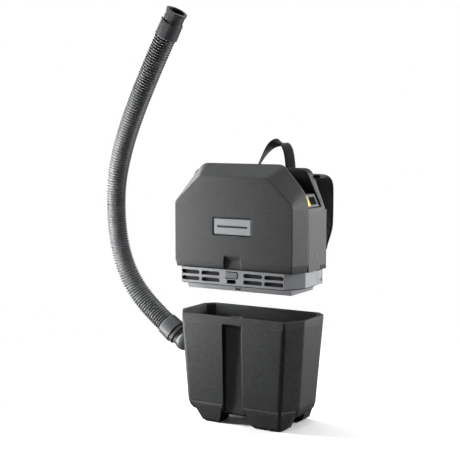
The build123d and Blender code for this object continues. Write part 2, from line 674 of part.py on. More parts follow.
def switch_frame():
    x0 = -SHELL_HALF - PLUG_PROUD
    y, z = SWITCH_Y, SWITCH_Z
    frame = block(x0, -SHELL_HALF + SHELL_WALL, y - 12, y + 12, z - 18, z + 18)
    return frame - block(x0 - 1, x0 + 8.6, y - 8.5, y + 8.5, z - 14, z + 14)


def switch_rocker():
    """Rocker that tilts on its middle, towards on or off."""
    x, z = -SHELL_HALF + 5, SWITCH_Z
    profile = [(x - 5.6, z + 11.6), (x - 4.6, z), (x - 3, z - 12.4), (x + 1, z - 12.4),
               (x + 2.4, z), (x + 0.6, z + 12.4)]
    return prism_y(profile, SWITCH_Y - 8, SWITCH_Y + 8) + rod_y(x, SWITCH_Y - 8.4, SWITCH_Y + 8.4, z, 1.5)


# ---- head: motor
def fan_housing():
    z0 = FAN_Z
    z1 = z0 + FAN_HEIGHT
    body = ring(MOTOR_X, MOTOR_Y, z0, z1, FAN_R, FAN_R - 3)
    body = body + ring(MOTOR_X, MOTOR_Y, z0, z0 + 2.5, FAN_R - 1, 16)
    return body + ring(MOTOR_X, MOTOR_Y, z1 - 2.5, z1, FAN_R - 1, MOTOR_R - 6)


def motor_can():
    z0 = FAN_Z + FAN_HEIGHT
    z1 = z0 + MOTOR_HEIGHT
    shell = ring(MOTOR_X, MOTOR_Y, z0, z1, MOTOR_R, MOTOR_R - 2.5)
    low = ring(MOTOR_X, MOTOR_Y, z0, z0 + BEARING_H, MOTOR_R - 1, BEARING_R)
    top = ring(MOTOR_X, MOTOR_Y, z1 - BEARING_H, z1, MOTOR_R - 1, BEARING_R)
    return shell + low + top


def motor_bearings():
    z0 = FAN_Z + FAN_HEIGHT
    z1 = z0 + MOTOR_HEIGHT
    rings = [ring(MOTOR_X, MOTOR_Y, z, z + BEARING_H, BEARING_R, SHAFT_R + SHAFT_FIT)
             for z in (z0, z1 - BEARING_H)]
    return Compound(rings)


def motor_stator():
    z0 = FAN_Z + FAN_HEIGHT + BEARING_H + 6
    return ring(MOTOR_X, MOTOR_Y, z0, z0 + MOTOR_HEIGHT - 2 * BEARING_H - 12, MOTOR_R - 2.5, 21)


def impeller():
    """Shaft, rotor and fan wheel, which turn together."""
    z0 = FAN_Z
    z1 = z0 + FAN_HEIGHT + MOTOR_HEIGHT
    shaft = post(MOTOR_X, MOTOR_Y, z0 + 8, z1 + 4, SHAFT_R)
    rotor_z = z0 + FAN_HEIGHT + BEARING_H + 6
    rotor = post(MOTOR_X, MOTOR_Y, rotor_z, z1 - BEARING_H - 6, 19)
    disc = post(MOTOR_X, MOTOR_Y, z0 + 30, z0 + 33, IMPELLER_R)
    hub = post(MOTOR_X, MOTOR_Y, z0 + 8, z0 + 33, 10)
    body = joined(shaft, rotor, disc, hub)
    blade = block(8, IMPELLER_R - 2, -1, 1, z0 + 12, z0 + 31)
    for turn in range(0, 360, 40):
        body = body + Pos(MOTOR_X, MOTOR_Y, 0) * Rot(0, 0, turn) * blade
    return body


def motor_mounts():
    """Rubber rings that carry the fan housing and steady the motor."""
    z0 = FAN_Z
    z1 = z0 + FAN_HEIGHT
    low = ring(MOTOR_X, MOTOR_Y, z0 + 3, z0 + 13, FAN_R + 5, FAN_R + 0.02)
    top = ring(MOTOR_X, MOTOR_Y, z1 + MOTOR_HEIGHT - 14, z1 + MOTOR_HEIGHT - 4, MOTOR_R + 5, MOTOR_R + 0.02)
    return Compound([low, top])


def motor_bracket():
    """Moulded bridge that holds both rubber rings inside the shells."""
    z0 = FAN_Z
    top_z = z0 + FAN_HEIGHT + MOTOR_HEIGHT - 14
    arm = block(MOTOR_X - 70, MOTOR_X + 70, MOTOR_Y - 14, MOTOR_Y + 14, top_z, top_z + 10)
    arm = arm - post(MOTOR_X, MOTOR_Y, top_z - 1, top_z + 11, MOTOR_R + 5.02)
    legs = [block(MOTOR_X + s * 70 - 3, MOTOR_X + s * 70 + 3, MOTOR_Y - 14, MOTOR_Y + 14,
                  BAND_Z + 3, top_z + 10) for s in (-1, 1)]
    low = block(MOTOR_X - 70, MOTOR_X + 70, MOTOR_Y - 14, MOTOR_Y + 14, BAND_Z + 3, BAND_Z + 12)
    low = low - post(MOTOR_X, MOTOR_Y, BAND_Z, BAND_Z + 13, FAN_R + 5.02)
    return joined(arm, low, *legs)


# ---- head: battery
def bay_front_outline():
    right = [(BAY_X1, BAY_Z), (BAY_X1, SIDE_TOP_Z - 4), (112.0, ARCH_TOP_Z - 6)]
    return right + [(BAY_X0 + 0.5, ARCH_TOP_Z - 6), (BAY_X0 + 0.5, BAY_Z)]


def battery_bay():
    """Cradle with a floor, two side walls and a tall front wall that closes off the cover."""
    x0, x1, wall = BAY_X0 + 0.5, BAY_X1, BAY_WALL
    y0, y1 = COVER_SPLIT_Y, ARCH_FRONT_Y - 0.4
    body = prism_y(bay_front_outline(), y0, y0 + wall)
    body = body + block(x0, x1, y0, y1, BAY_Z, BAY_Z + wall)
    body = body + block(x0, x0 + wall, y0, y1, BAY_Z, SIDE_TOP_Z)
    body = body + block(x1 - wall, x1, y0, y1, BAY_Z, SIDE_TOP_Z - 2)
    for x in (x0 + 12, x1 - 12):
        for z in (SEAM_Z + 49, SEAM_Z + 109):
            body = body + rod_y(x, y0 - 6, y0 + 1, z, 3)
    return body


def terminal_block():
    z0 = BAY_Z + BAY_WALL
    body = block(84, 126, -42, -16, z0, z0 + 8)
    for x in (92, 100, 110, 118):
        body = body + block(x - 1, x + 1, -38, -20, z0 + 7, z0 + 15)
    return body


def battery_top_face_x(z):
    """X of the battery's slanted outer face, which follows the shell's slope."""
    (x_low, z_low), (x_top, z_top) = ARCH[1], ARCH[2]
    return x_low + (x_top - x_low) * (z - z_low) / (z_top - z_low) - 4


def battery_case():
    x0 = BAY_X0 + 0.5 + BAY_WALL + BATTERY_FIT
    x1 = BAY_X1 - BAY_WALL - BATTERY_FIT
    y0 = COVER_SPLIT_Y + BAY_WALL + BATTERY_FIT
    y1 = ARCH_FRONT_Y - BATTERY_FIT
    z0 = BAY_Z + BAY_WALL + 9.5
    z1 = BATTERY_TOP_Z
    lip = SIDE_TOP_Z + 1.5
    points = [(x0, z0), (x1, z0), (x1, lip), (battery_top_face_x(lip), lip),
              (battery_top_face_x(z1), z1), (x0, z1)]
    body = prism_y(points, y0, y1)
    body = body - block(82, 128, -44, -14, z0 - 1, z0 + 9)
    grip = block(x0 + 16, x1 - 36, y0 + 12, y1 - 12, z1 - 14, z1 + 1)
    return body - grip - button_pocket(FIT) - display_block(1.62, 3.0)


BUTTON_TILT = degrees(atan2(ARCH[1][0] - ARCH[2][0], ARCH[2][1] - ARCH[1][1]))
BUTTON_Z = SIDE_TOP_Z + 14.5


def on_slope(depth_in):
    """Frame on the battery's slanted face, with Z pointing out of it."""
    centre = Vector(battery_top_face_x(BUTTON_Z), BUTTON_Y0 + BUTTON_WIDTH / 2 + 0.5, BUTTON_Z)
    out = Vector(cos(radians(BUTTON_TILT)), 0, sin(radians(BUTTON_TILT)))
    return Plane(origin=centre - out * depth_in, x_dir=(0, 1, 0), z_dir=out)


def button_pocket(fit):
    shape = Rectangle(BUTTON_WIDTH + 2 * fit, BUTTON_HEIGHT + 2 * fit)
    return extrude(on_slope(11) * shape, amount=14)


def battery_button():
    """Release button, pressed into the battery's slanted face."""
    return extrude(on_slope(5) * Rectangle(BUTTON_WIDTH, BUTTON_HEIGHT), amount=6.2)


def button_spring():
    """Pair of small coil springs under the button, as sleeves at their pressed length."""
    parts = []
    for shift in (-6, 6):
        seat = on_slope(10.9)
        spot = seat * Pos(0, shift, 0)
        parts.append(spot * extrude(Circle(2.2) - Circle(1.6), amount=2.8))
    return Compound(parts)


def battery_display():
    """Display window with its frame on the slanted face, beside the button."""
    return display_block(1.6, 2.2)


def display_block(sink, height):
    shape = on_slope(sink) * Pos(BUTTON_WIDTH / 2 + 19, 0, 0) * Rectangle(26, 17)
    return extrude(shape, amount=height)


def control_board():
    y1 = COVER_SPLIT_Y - 6
    return block(BAY_X0 + 5, BAY_X1 - 5, y1 - 1.6, y1, SEAM_Z + 41, SEAM_Z + 117)


def board_parts():
    """Heat sink and capacitors on the control board."""
    y1 = COVER_SPLIT_Y - 7.6
    parts = [block(78, 108, y1 - 12, y1, SEAM_Z + 87, SEAM_Z + 111)]
    parts += [rod_y(x, y1 - 14, y1, SEAM_Z + 61, 6) for x in (82, 98, 114)]
    return Compound(parts)


# ---- harness
def back_plate():
    """Moulded tray that carries the harness, on four posts behind the shell."""
    radii = [10, 30, 24, 24, 30, 10]
    body = prism_y(PLATE, PLATE_FRONT_Y, PLATE_REAR_Y, radii)
    hollow = prism_y(inset(PLATE, PLATE_WALL), PLATE_FRONT_Y - 1, PLATE_REAR_Y - PLATE_WALL,
                     [r - PLATE_WALL for r in radii])
    body = body - hollow
    for x in PLATE_POSTS_X:
        for z in PLATE_POSTS_Z:
            body = body + rod_y(x, SHELL_REAR_Y, PLATE_REAR_Y - 1, z, 8)
            body = body - rod_y(x, SHELL_REAR_Y + 4, PLATE_REAR_Y + 1, z, 5.5)
            body = body - rod_y(x, SHELL_REAR_Y - 1, PLATE_REAR_Y + 1, z, 2.6)
    return body


def plate_screws():
    screws = []
    for x in PLATE_POSTS_X:
        for z in PLATE_POSTS_Z:
            head = rod_y(x, SHELL_REAR_Y + 4, SHELL_REAR_Y + 7, z, 5)
            screws.append(head + rod_y(x, SHELL_REAR_Y - 6, SHELL_REAR_Y + 4, z, 2.4))
    return Compound(screws)


def back_pad(z0, z1, half_low, half_top):
    """Padded cushion on the rear of the plate."""
    points = [(-half_low, z0), (half_low, z0), (half_top, z1), (-half_top, z1)]
    body = prism_y(points, PLATE_REAR_Y, PLATE_REAR_Y + PAD_THICK, [16, 16, 16, 16])
    rear = body.faces().sort_by(Axis.Y).last
    return fillet(rear.edges(), 6)


def back_pad_upper():
    return back_pad(SEAM_Z + 99, SEAM_Z + 181, 66, 62)


def back_pad_lower():
    return back_pad(SEAM_Z + 7, SEAM_Z + 91, 66, 66)


STRAP_PATH = [
    (PLATE_REAR_Y + 0.2, COVER_TOP_Z - 30), (PLATE_REAR_Y + 28, COVER_TOP_Z - 30),
    (HARNESS_REAR_Y - STRAP_THICK / 2, COVER_TOP_Z - 54), (HARNESS_REAR_Y - STRAP_THICK / 2, SEAM_Z + 89),
    (93.0, SEAM_Z + 35),
]


def shoulder_strap(side):
    """Padded strap, a flat band swept along its side view and trimmed to its front view."""
    path = FilletPolyline(*[(0, y, z) for y, z in STRAP_PATH], radius=[14, 20, 60])
    start = Plane(origin=(0, *STRAP_PATH[0]), x_dir=(1, 0, 0), z_dir=(0, 1, 0))
    band = sweep(start * Rectangle(200, STRAP_THICK), path=path)
    half = STRAP_WIDTH / 2
    low, waist = SEAM_Z + 29, SEAM_Z + 87
    bend, top = COVER_TOP_Z - 70, COVER_TOP_Z - 18
    front = [(STRAP_X - half + 6, low), (STRAP_X + half - 12, low), (STRAP_X + half, waist),
             (STRAP_X + half, bend), (STRAP_X + half - 12, top), (STRAP_X - half - 14, top),
             (STRAP_X - half, bend), (STRAP_X - half, waist)]
    trim = prism_y(front, 0, 200)
    band = band & trim
    return band if side > 0 else mirror(band, about=Plane.YZ)


def lower_webbing(side):
    """Flat webbing from the adjuster to the foot of the plate."""
    start = Vector(STRAP_X - 2, 88.0, SEAM_Z + 15)
    end = Vector(STRAP_X - 2, 66.0, SEAM_Z + 6)
    frame = Plane(origin=start, x_dir=(1, 0, 0), z_dir=end - start)
    band = extrude(frame * Rectangle(WEB_WIDTH, WEB_THICK), amount=(end - start).length)
    half = WEB_WIDTH / 2
    band = band + block(start.X - half, start.X + half, PLATE_REAR_Y + 0.1, 67.5, SEAM_Z + 4, SEAM_Z + 9)
    return band if side > 0 else mirror(band, about=Plane.YZ)


def adjuster(side):
    """Ladder-lock buckle between the padded strap and the webbing."""
    half = WEB_WIDTH / 2 + 4
    place = Pos(STRAP_X - 2, 90.8, SEAM_Z + 25) * Rot(-16, 0, 0)
    body = place * Box(2 * half, 5, 17)
    for shift in (-4.6, 1.6):
        slot = place * Pos(0, 0, shift) * Box(WEB_WIDTH + 1, 8, 3.4)
        body = body - slot
    return body if side > 0 else mirror(body, about=Plane.YZ)


def carry_handle():
    """Webbing loop at the top of the plate."""
    y = PLATE_REAR_Y + 14
    foot_z = COVER_TOP_Z - 25
    points = [(-46, y, foot_z), (-4, y, foot_z + 69), (26, y, foot_z + 78), (48, y, foot_z + 59),
              (53, y, foot_z)]
    path = FilletPolyline(*points, radius=[26, 18, 18])
    start = Plane(origin=points[0], x_dir=(0, 1, 0), z_dir=Vector(*points[1]) - Vector(*points[0]))
    return sweep(start * Rectangle(WEB_WIDTH, WEB_THICK), path=path)


def handle_anchor():
    """Stitched bar on the plate's rear, which holds both feet of the loop."""
    top = COVER_TOP_Z - 25.8
    bar = block(-56, 56, PLATE_REAR_Y, PLATE_REAR_Y + 15 + WEB_WIDTH / 2, top - 13, top)
    return fillet(bar.edges().filter_by(Axis.X), 3)


NODES = {
    "container_shell": container_shell,
    "container_feet": container_feet,
    "latch_keeper": latch_keeper,
    "inlet_port": inlet_port,
    "hose_cuff": hose_cuff,
    "hose": hose,
    "hose_end_connector": hose_end_connector,
    "bag_adapter": bag_adapter,
    "filter_bag": filter_bag,
    "base_frame": base_frame,
    "base_seal": base_seal,
    "intake_grille": intake_grille,
    "motor_filter": motor_filter,
    "exhaust_foam": exhaust_foam,
    "latch_lever": latch_lever,
    "latch_pin": latch_pin,
    "latch_spring": latch_spring,
    "side_clips": side_clips,
    "front_cover": front_cover,
    "badge_plate": badge_plate,
    "main_shell": main_shell,
    "side_plugs": side_plugs,
    "switch_frame": switch_frame,
    "switch_rocker": switch_rocker,
    "fan_housing": fan_housing,
    "motor_can": motor_can,
    "motor_bearings": motor_bearings,
    "motor_stator": motor_stator,
    "impeller": impeller,
    "motor_mounts": motor_mounts,
    "motor_bracket": motor_bracket,
    "battery_bay": battery_bay,
    "terminal_block": terminal_block,
    "battery_case": battery_case,
    "battery_button": battery_button,
    "button_spring": button_spring,
    "battery_display": battery_display,
    "control_board": control_board,
    "board_parts": board_parts,
    "back_plate": back_plate,
    "plate_screws": plate_screws,
    "back_pad_upper": back_pad_upper,
    "back_pad_lower": back_pad_lower,
    "shoulder_strap_left": lambda: shoulder_strap(-1),
    "shoulder_strap_right": lambda: shoulder_strap(1),
    "lower_webbing_left": lambda: lower_webbing(-1),
    "lower_webbing_right": lambda: lower_webbing(1),
    "adjuster_left": lambda: adjuster(-1),
    "adjuster_right": lambda: adjuster(1),
    "carry_handle": carry_handle,
    "handle_anchor": handle_anchor,
}

os.makedirs("parts", exist_ok=True)
for name, make in NODES.items():
    export_step(make(), f"parts/{name}.step")
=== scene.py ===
import bmesh
import bpy
from math import cos, pi, radians, sin
from mathutils import Matrix, Vector


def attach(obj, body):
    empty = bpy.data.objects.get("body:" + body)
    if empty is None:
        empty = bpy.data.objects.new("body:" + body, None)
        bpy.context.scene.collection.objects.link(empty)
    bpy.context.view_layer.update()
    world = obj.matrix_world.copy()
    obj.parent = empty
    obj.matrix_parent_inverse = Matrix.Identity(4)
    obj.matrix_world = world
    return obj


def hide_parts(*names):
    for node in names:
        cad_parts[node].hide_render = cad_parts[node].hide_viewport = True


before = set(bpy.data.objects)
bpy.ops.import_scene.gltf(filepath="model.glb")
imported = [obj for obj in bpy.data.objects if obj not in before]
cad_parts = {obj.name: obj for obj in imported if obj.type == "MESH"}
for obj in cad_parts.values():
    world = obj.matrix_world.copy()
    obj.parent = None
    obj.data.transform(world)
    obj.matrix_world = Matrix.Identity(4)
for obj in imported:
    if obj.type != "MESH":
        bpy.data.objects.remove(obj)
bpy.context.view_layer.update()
MM = 0.001


# ---- camera and lamps
AZIMUTH, ELEVATION = radians(30.7), radians(5.7)
TARGET = Vector((-0.0429, -0.0455, 0.4220))
BACK = Vector((sin(AZIMUTH) * cos(ELEVATION), -cos(AZIMUTH) * cos(ELEVATION), sin(ELEVATION)))
DISTANCE = 2.430


def link(obj):
    bpy.context.scene.collection.objects.link(obj)
    return obj


def aim(obj, target):
    obj.rotation_euler = (obj.location - Vector(target)).to_track_quat("Z", "Y").to_euler()


def set_camera():
    data = bpy.data.cameras.new("camera")
    data.lens = 86.1
    data.sensor_width = 36
    data.clip_start = 0.05
    camera = link(bpy.data.objects.new("camera", data))
    camera.location = TARGET + BACK * DISTANCE
    aim(camera, TARGET)
    bpy.context.scene.camera = camera


def area_light(name, location, target, size, power):
    data = bpy.data.lights.new(name, "AREA")
    data.shape = "RECTANGLE"
    data.size, data.size_y = size
    data.energy = power
    light = link(bpy.data.objects.new(name, data))
    light.location = location
    aim(light, target)


set_camera()


# ---- nodes and materials
def linear(code):
    """Linear RGBA from an sRGB hex code."""
    parts = [int(code[i:i + 2], 16) / 255 for i in (0, 2, 4)]
    return tuple(c / 12.92 if c <= 0.04045 else ((c + 0.055) / 1.055) ** 2.4 for c in parts) + (1.0,)


def add(mat, kind, inputs=None, **settings):
    """Adds a shader node with its settings, and sets or links its inputs."""
    node = mat.node_tree.nodes.new("ShaderNode" + kind)
    for key, value in settings.items():
        setattr(node, key, value)
    for key, value in (inputs or {}).items():
        if isinstance(value, bpy.types.NodeSocket):
            mat.node_tree.links.new(value, node.inputs[key])
        else:
            node.inputs[key].default_value = value
    return node


def surface(name):
    mat = bpy.data.materials.new(name)
    mat.use_nodes = True
    return mat, mat.node_tree.nodes["Principled BSDF"]


def connect(mat, bsdf, **sockets):
    for key, value in sockets.items():
        target = bsdf.inputs[key.replace("_", " ")]
        if isinstance(value, bpy.types.NodeSocket):
            mat.node_tree.links.new(value, target)
        else:
            target.default_value = value


def coords(mat, scale=(1, 1, 1)):
    where = add(mat, "TexCoord").outputs["Object"]
    return add(mat, "Mapping", {"Vector": where, "Scale": scale}).outputs["Vector"]


def ramp(mat, value, stops):
    """Colour ramp from (position, colour) stops."""
    node = add(mat, "ValToRGB", {"Fac": value})
    elements = node.color_ramp.elements
    while len(elements) < len(stops):
        elements.new(0.5)
    for element, (position, colour) in zip(elements, stops):
        element.position = position
        element.color = colour
    return node.outputs["Color"]


def math_node(mat, operation, a, b=0.0):
    return add(mat, "Math", {0: a, 1: b}, operation=operation).outputs[0]


def weighted(mat, *pairs):
    """Sum of values, each given with its weight."""
    total = None
    for value, weight in pairs:
        term = math_node(mat, "MULTIPLY", value, weight)
        total = math_node(mat, "ADD", total, term) if total else term
    return total


def rounded_normal(mat, radius):
    return add(mat, "Bevel", {"Radius": radius * MM}, samples=6).outputs["Normal"]


def bump(mat, height, strength, distance, normal=None):
    inputs = {"Height": height, "Strength": strength, "Distance": distance * MM}
    if normal is not None:
        inputs["Normal"] = normal
    return add(mat, "Bump", inputs).outputs["Normal"]


def noise_tex(mat, where, scale, detail=2.0, roughness=0.5):
    return add(mat, "TexNoise", {"Vector": where, "Scale": scale, "Detail": detail,
                                 "Roughness": roughness}).outputs["Fac"]


def beaded_foam(name, dark, light, radius, shade_from=None):
    """Expanded-bead foam: pebbled grain, light flecks between the beads, soft edges.

    shade_from is a height above which the foam is darker, as inside the carrying arch."""
    mat, bsdf = surface(name)
    where = coords(mat)
    beads = add(mat, "TexVoronoi", {"Vector": where, "Scale": 330.0, "Randomness": 0.9})
    gaps = add(mat, "TexVoronoi", {"Vector": where, "Scale": 330.0, "Randomness": 0.9},
               feature="DISTANCE_TO_EDGE").outputs["Distance"]
    fine = noise_tex(mat, where, 1500.0, 3.0)
    patches = noise_tex(mat, where, 26.0, 2.0)
    tone = add(mat, "SeparateColor", {"Color": beads.outputs["Color"]}).outputs[0]
    mixed = weighted(mat, (tone, 0.46), (fine, 0.40), (patches, 0.16))
    colour = ramp(mat, mixed, [(0.22, linear(dark)), (0.78, linear(light))])
    if shade_from:
        height_here = add(mat, "SeparateXYZ", {"Vector": where}).outputs["Z"]
        shade = add(mat, "MapRange", {"Value": height_here, "From Min": shade_from,
                                      "From Max": shade_from + 2 * MM,
                                      "To Min": 1.0, "To Max": 0.22}).outputs["Result"]
        colour = add(mat, "VectorMath", {0: colour, "Scale": shade}, operation="SCALE").outputs["Vector"]
    edge = math_node(mat, "MINIMUM", math_node(mat, "MULTIPLY", gaps, 6.0), 1.0)
    height = weighted(mat, (edge, 0.6), (fine, 0.4))
    normal = bump(mat, height, 0.55, 0.45, rounded_normal(mat, radius))
    rough = math_node(mat, "ADD", math_node(mat, "MULTIPLY", tone, 0.14), 0.52)
    connect(mat, bsdf, Base_Color=colour, Roughness=rough, Normal=normal)
    bsdf.inputs["Specular IOR Level"].default_value = 0.42
    return mat


def moulded(name, base, grain=900.0, rough=0.5, depth=0.08, radius=0.8, shift=0.12, specular=0.5):
    """Moulded plastic: fine spark grain, faint flow tone and softly broken edges."""
    mat, bsdf = surface(name)
    where = coords(mat)
    fine = noise_tex(mat, where, grain, 3.0, 0.6)
    broad = noise_tex(mat, where, 14.0, 2.0)
    body = linear(base)
    low = tuple(c * (1 - shift) for c in body[:3]) + (1.0,)
    high = tuple(min(c * (1 + shift), 1.0) for c in body[:3]) + (1.0,)
    tone = weighted(mat, (fine, 0.5), (broad, 0.5))
    colour = ramp(mat, tone, [(0.3, low), (0.7, high)])
    roughness = math_node(mat, "ADD", math_node(mat, "MULTIPLY", fine, 0.2), rough - 0.1)
    normal = bump(mat, fine, 0.35, depth, rounded_normal(mat, radius))
    connect(mat, bsdf, Base_Color=colour, Roughness=roughness, Normal=normal)
    bsdf.inputs["Specular IOR Level"].default_value = specular
    return mat


def metal(name, base, rough=0.32, streaks=(1, 1, 60), radius=0.5):
    """Brushed metal with streaks along one axis."""
    mat, bsdf = surface(name)
    where = coords(mat, streaks)
    lines = noise_tex(mat, where, 60.0, 3.0)
    body = linear(base)
    colour = ramp(mat, lines, [(0.3, tuple(c * 0.86 for c in body[:3]) + (1.0,)), (0.7, body)])
    roughness = math_node(mat, "ADD", math_node(mat, "MULTIPLY", lines, 0.2), rough - 0.1)
    normal = bump(mat, lines, 0.15, 0.05, rounded_normal(mat, radius))
    connect(mat, bsdf, Base_Color=colour, Roughness=roughness, Normal=normal, Metallic=1.0)
    return mat


def plate_face(name, plate):
    """Silver plate with a dark engraved border and one plain dark bar."""
    mat, bsdf = surface(name)
    corners = [plate.matrix_world @ Vector(c) for c in plate.bound_box]
    low = Vector([min(c[i] for c in corners) for i in range(3)])
    high = Vector([max(c[i] for c in corners) for i in range(3)])
    where = add(mat, "SeparateXYZ", {"Vector": coords(mat)})
    across = math_node(mat, "ABSOLUTE", math_node(mat, "SUBTRACT", where.outputs["X"], (low.x + high.x) / 2))
    up = math_node(mat, "SUBTRACT", where.outputs["Z"], (low.z + high.z) / 2)
    half_x, half_z = (high.x - low.x) / 2, (high.z - low.z) / 2
    edge_x = math_node(mat, "GREATER_THAN", across, half_x - 1.6 * MM)
    edge_z = math_node(mat, "GREATER_THAN", math_node(mat, "ABSOLUTE", up), half_z - 1.6 * MM)
    bar_x = math_node(mat, "LESS_THAN", across, half_x - 9 * MM)
    bar_z = math_node(mat, "LESS_THAN", math_node(mat, "ABSOLUTE", up), 2.2 * MM)
    border = math_node(mat, "MAXIMUM", edge_x, edge_z)
    bar = math_node(mat, "MULTIPLY", bar_x, bar_z)
    ink = math_node(mat, "MAXIMUM", border, bar)
    lines = noise_tex(mat, coords(mat, (1, 1, 60)), 60.0, 3.0)
    silver = ramp(mat, lines, [(0.3, linear("a9abae")), (0.7, linear("c3c5c8"))])
    colour = add(mat, "MixRGB", {"Fac": ink, "Color1": silver, "Color2": linear("2a2b2d")}).outputs["Color"]
    roughness = math_node(mat, "ADD", math_node(mat, "MULTIPLY", lines, 0.2), 0.26)
    metallic = math_node(mat, "SUBTRACT", 0.9, math_node(mat, "MULTIPLY", ink, 0.8))
    connect(mat, bsdf, Base_Color=colour, Roughness=roughness, Metallic=metallic,
            Normal=bump(mat, lines, 0.15, 0.05, rounded_normal(mat, 0.6)))
    return mat


def ribbed_hose(name):
    mat, bsdf = surface(name)
    where = coords(mat)
    dust = noise_tex(mat, where, 45.0, 3.0)
    fine = noise_tex(mat, where, 900.0, 2.0)
    colour = ramp(mat, dust, [(0.3, linear("3c3d3e")), (0.7, linear("4b4c4e"))])
    roughness = math_node(mat, "ADD", math_node(mat, "MULTIPLY", dust, 0.18), 0.30)
    connect(mat, bsdf, Base_Color=colour, Roughness=roughness, Normal=bump(mat, fine, 0.2, 0.05))
    bsdf.inputs["Specular IOR Level"].default_value = 0.6
    return mat


def woven(name, dark, light, pitch=(1.1, 1.1), depth=0.25, sheen=0.25, rough=0.85):
    """Cloth with warp and weft ribs on UVs measured in millimetres."""
    mat, bsdf = surface(name)
    uv = add(mat, "TexCoord").outputs["UV"]
    parts = add(mat, "SeparateXYZ", {"Vector": uv})
    across = math_node(mat, "SINE", math_node(mat, "MULTIPLY", parts.outputs["X"], 2 * pi / pitch[0]))
    along = math_node(mat, "SINE", math_node(mat, "MULTIPLY", parts.outputs["Y"], 2 * pi / pitch[1]))
    cells = math_node(mat, "MULTIPLY", across, along)
    ribs = weighted(mat, (cells, 0.5), (across, 0.3))
    height = math_node(mat, "ADD", math_node(mat, "MULTIPLY", ribs, 0.5), 0.5)
    fuzz = noise_tex(mat, coords(mat), 1200.0, 2.0)
    tone = weighted(mat, (height, 0.7), (fuzz, 0.3))
    colour = ramp(mat, tone, [(0.2, linear(dark)), (0.8, linear(light))])
    connect(mat, bsdf, Base_Color=colour, Roughness=rough, Normal=bump(mat, height, 0.6, depth))
    bsdf.inputs["Sheen Weight"].default_value = sheen
    bsdf.inputs["Specular IOR Level"].default_value = 0.25
    return mat


def spacer_mesh(name, dark, light, cell=2.6):
    """Air mesh: a grid of small holes over a darker ground, in object space."""
    mat, bsdf = surface(name)
    where = coords(mat)
    grid = add(mat, "TexVoronoi", {"Vector": where, "Scale": 1000.0 / cell, "Randomness": 0.15})
    holes = grid.outputs["Distance"]
    fuzz = noise_tex(mat, where, 1500.0, 2.0)
    patches = noise_tex(mat, where, 30.0, 2.0)
    rim = math_node(mat, "SUBTRACT", math_node(mat, "MULTIPLY", holes, 2.2), 0.25)
    tone = weighted(mat, (rim, 0.62), (fuzz, 0.22), (patches, 0.16))
    colour = ramp(mat, tone, [(0.28, linear(dark)), (0.72, linear(light))])
    connect(mat, bsdf, Base_Color=colour, Roughness=0.9, Normal=bump(mat, rim, 0.6, 0.5))
    bsdf.inputs["Sheen Weight"].default_value = 0.3
    bsdf.inputs["Specular IOR Level"].default_value = 0.2
    return mat


def fibre(name, dark, light, scale=420.0, depth=0.4):
    """Felted or fleece cloth, or open-cell foam."""
    mat, bsdf = surface(name)
    where = coords(mat)
    tufts = noise_tex(mat, where, scale, 4.0, 0.65)
    broad = noise_tex(mat, where, 20.0, 2.0)
    tone = weighted(mat, (tufts, 0.7), (broad, 0.3))
    colour = ramp(mat, tone, [(0.3, linear(dark)), (0.7, linear(light))])
    connect(mat, bsdf, Base_Color=colour, Roughness=0.95, Normal=bump(mat, tufts, 0.6, depth))
    bsdf.inputs["Sheen Weight"].default_value = 0.4
    bsdf.inputs["Specular IOR Level"].default_value = 0.15
    return mat


FOAM = beaded_foam("foam_dark", "101112", "2b2d2f", 3.5)
SHELL_FOAM = beaded_foam("foam_shell", "2a2b2d", "434547", 2.5, 0.478)
BASE_GREY = moulded("base_grey", "86888b", rough=0.55, radius=1.5)
BLACK = moulded("plastic_black", "17181a", rough=0.5)
DEEP_BLACK = moulded("plastic_deep_black", "070708", rough=0.5)
GREY = moulded("plastic_grey", "6a6c70", rough=0.55)
PORT_GREY = moulded("port_grey", "37383a", rough=0.45, radius=1.2)
BADGE = plate_face("badge_silver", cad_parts["badge_plate"])
DULL_SILVER = metal("dull_silver", "85878a", 0.4, (60, 1, 1))
STEEL = metal("steel", "9b9da0", 0.34)
MOTOR_METAL = metal("motor_metal", "8f9195", 0.4, (1, 1, 40))
RUBBER = moulded("rubber", "121213", grain=600.0, rough=0.8, depth=0.05)
FILTER = fibre("filter_foam", "131314", "2c2c2e", 700.0, 0.8)
FLEECE = fibre("fleece", "b9b6ae", "d8d5cd")
BATTERY = moulded("battery_body", "2c2f34", rough=0.5, radius=1.2)
YELLOW = moulded("yellow", "f2d21b", rough=0.4, radius=1.0, shift=0.05)
WINDOW = moulded("window", "0a0b0d", rough=0.12, depth=0.01, radius=0.4)
BOARD = moulded("board", "1a4a2a", grain=500.0, rough=0.35)
HOSE = ribbed_hose("ribbed_hose")
WEBBING = woven("webbing", "060607", "1b1b1d", (1.6, 1.0), 0.3)
BINDING = woven("binding", "050505", "131314", (1.2, 0.9), 0.2)
MESH = spacer_mesh("strap_mesh", "2a2b2d", "8d8f93")
PAD_MESH = spacer_mesh("pad_mesh", "101112", "36383b", 3.0)

